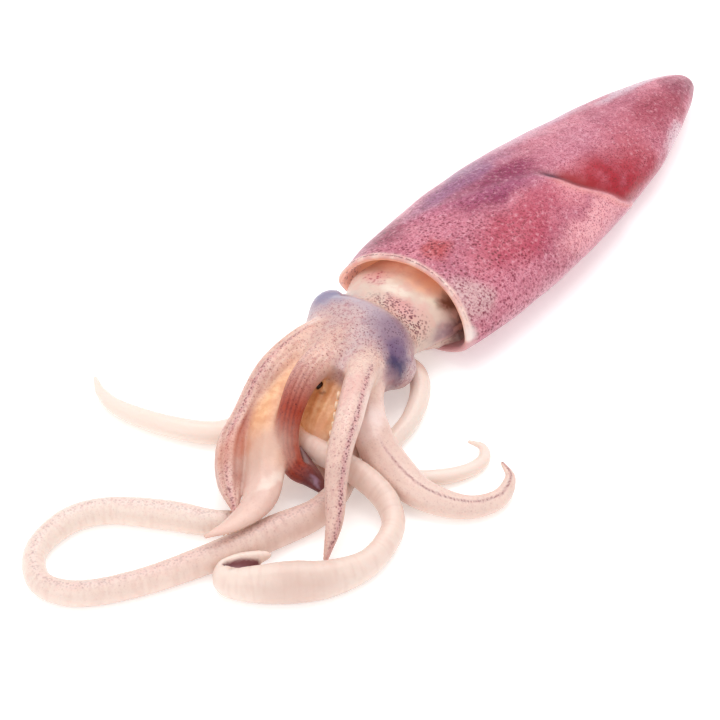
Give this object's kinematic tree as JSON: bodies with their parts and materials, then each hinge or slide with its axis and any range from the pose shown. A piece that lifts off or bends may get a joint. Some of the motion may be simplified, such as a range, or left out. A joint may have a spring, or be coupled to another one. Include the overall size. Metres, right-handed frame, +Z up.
{
  "type": "whole raw squid",
  "caption": "Whole raw squid lying on its belly, with folded tail fins, an open collar, a head and trailing arms and tentacles.",
  "frame": {"origin": "on the flat spot under the mantle, at about the middle of its length", "axes": "+X along the mantle from the collar to the tail tip, +Z up"},
  "size_m": [0.4835, 0.1991, 0.0432],
  "materials": {
    "flesh": "wet translucent skin with fine pigment spots"
  },
  "bodies": {
    "root": {"squid": "flesh"}
  },
  "joints": []
}
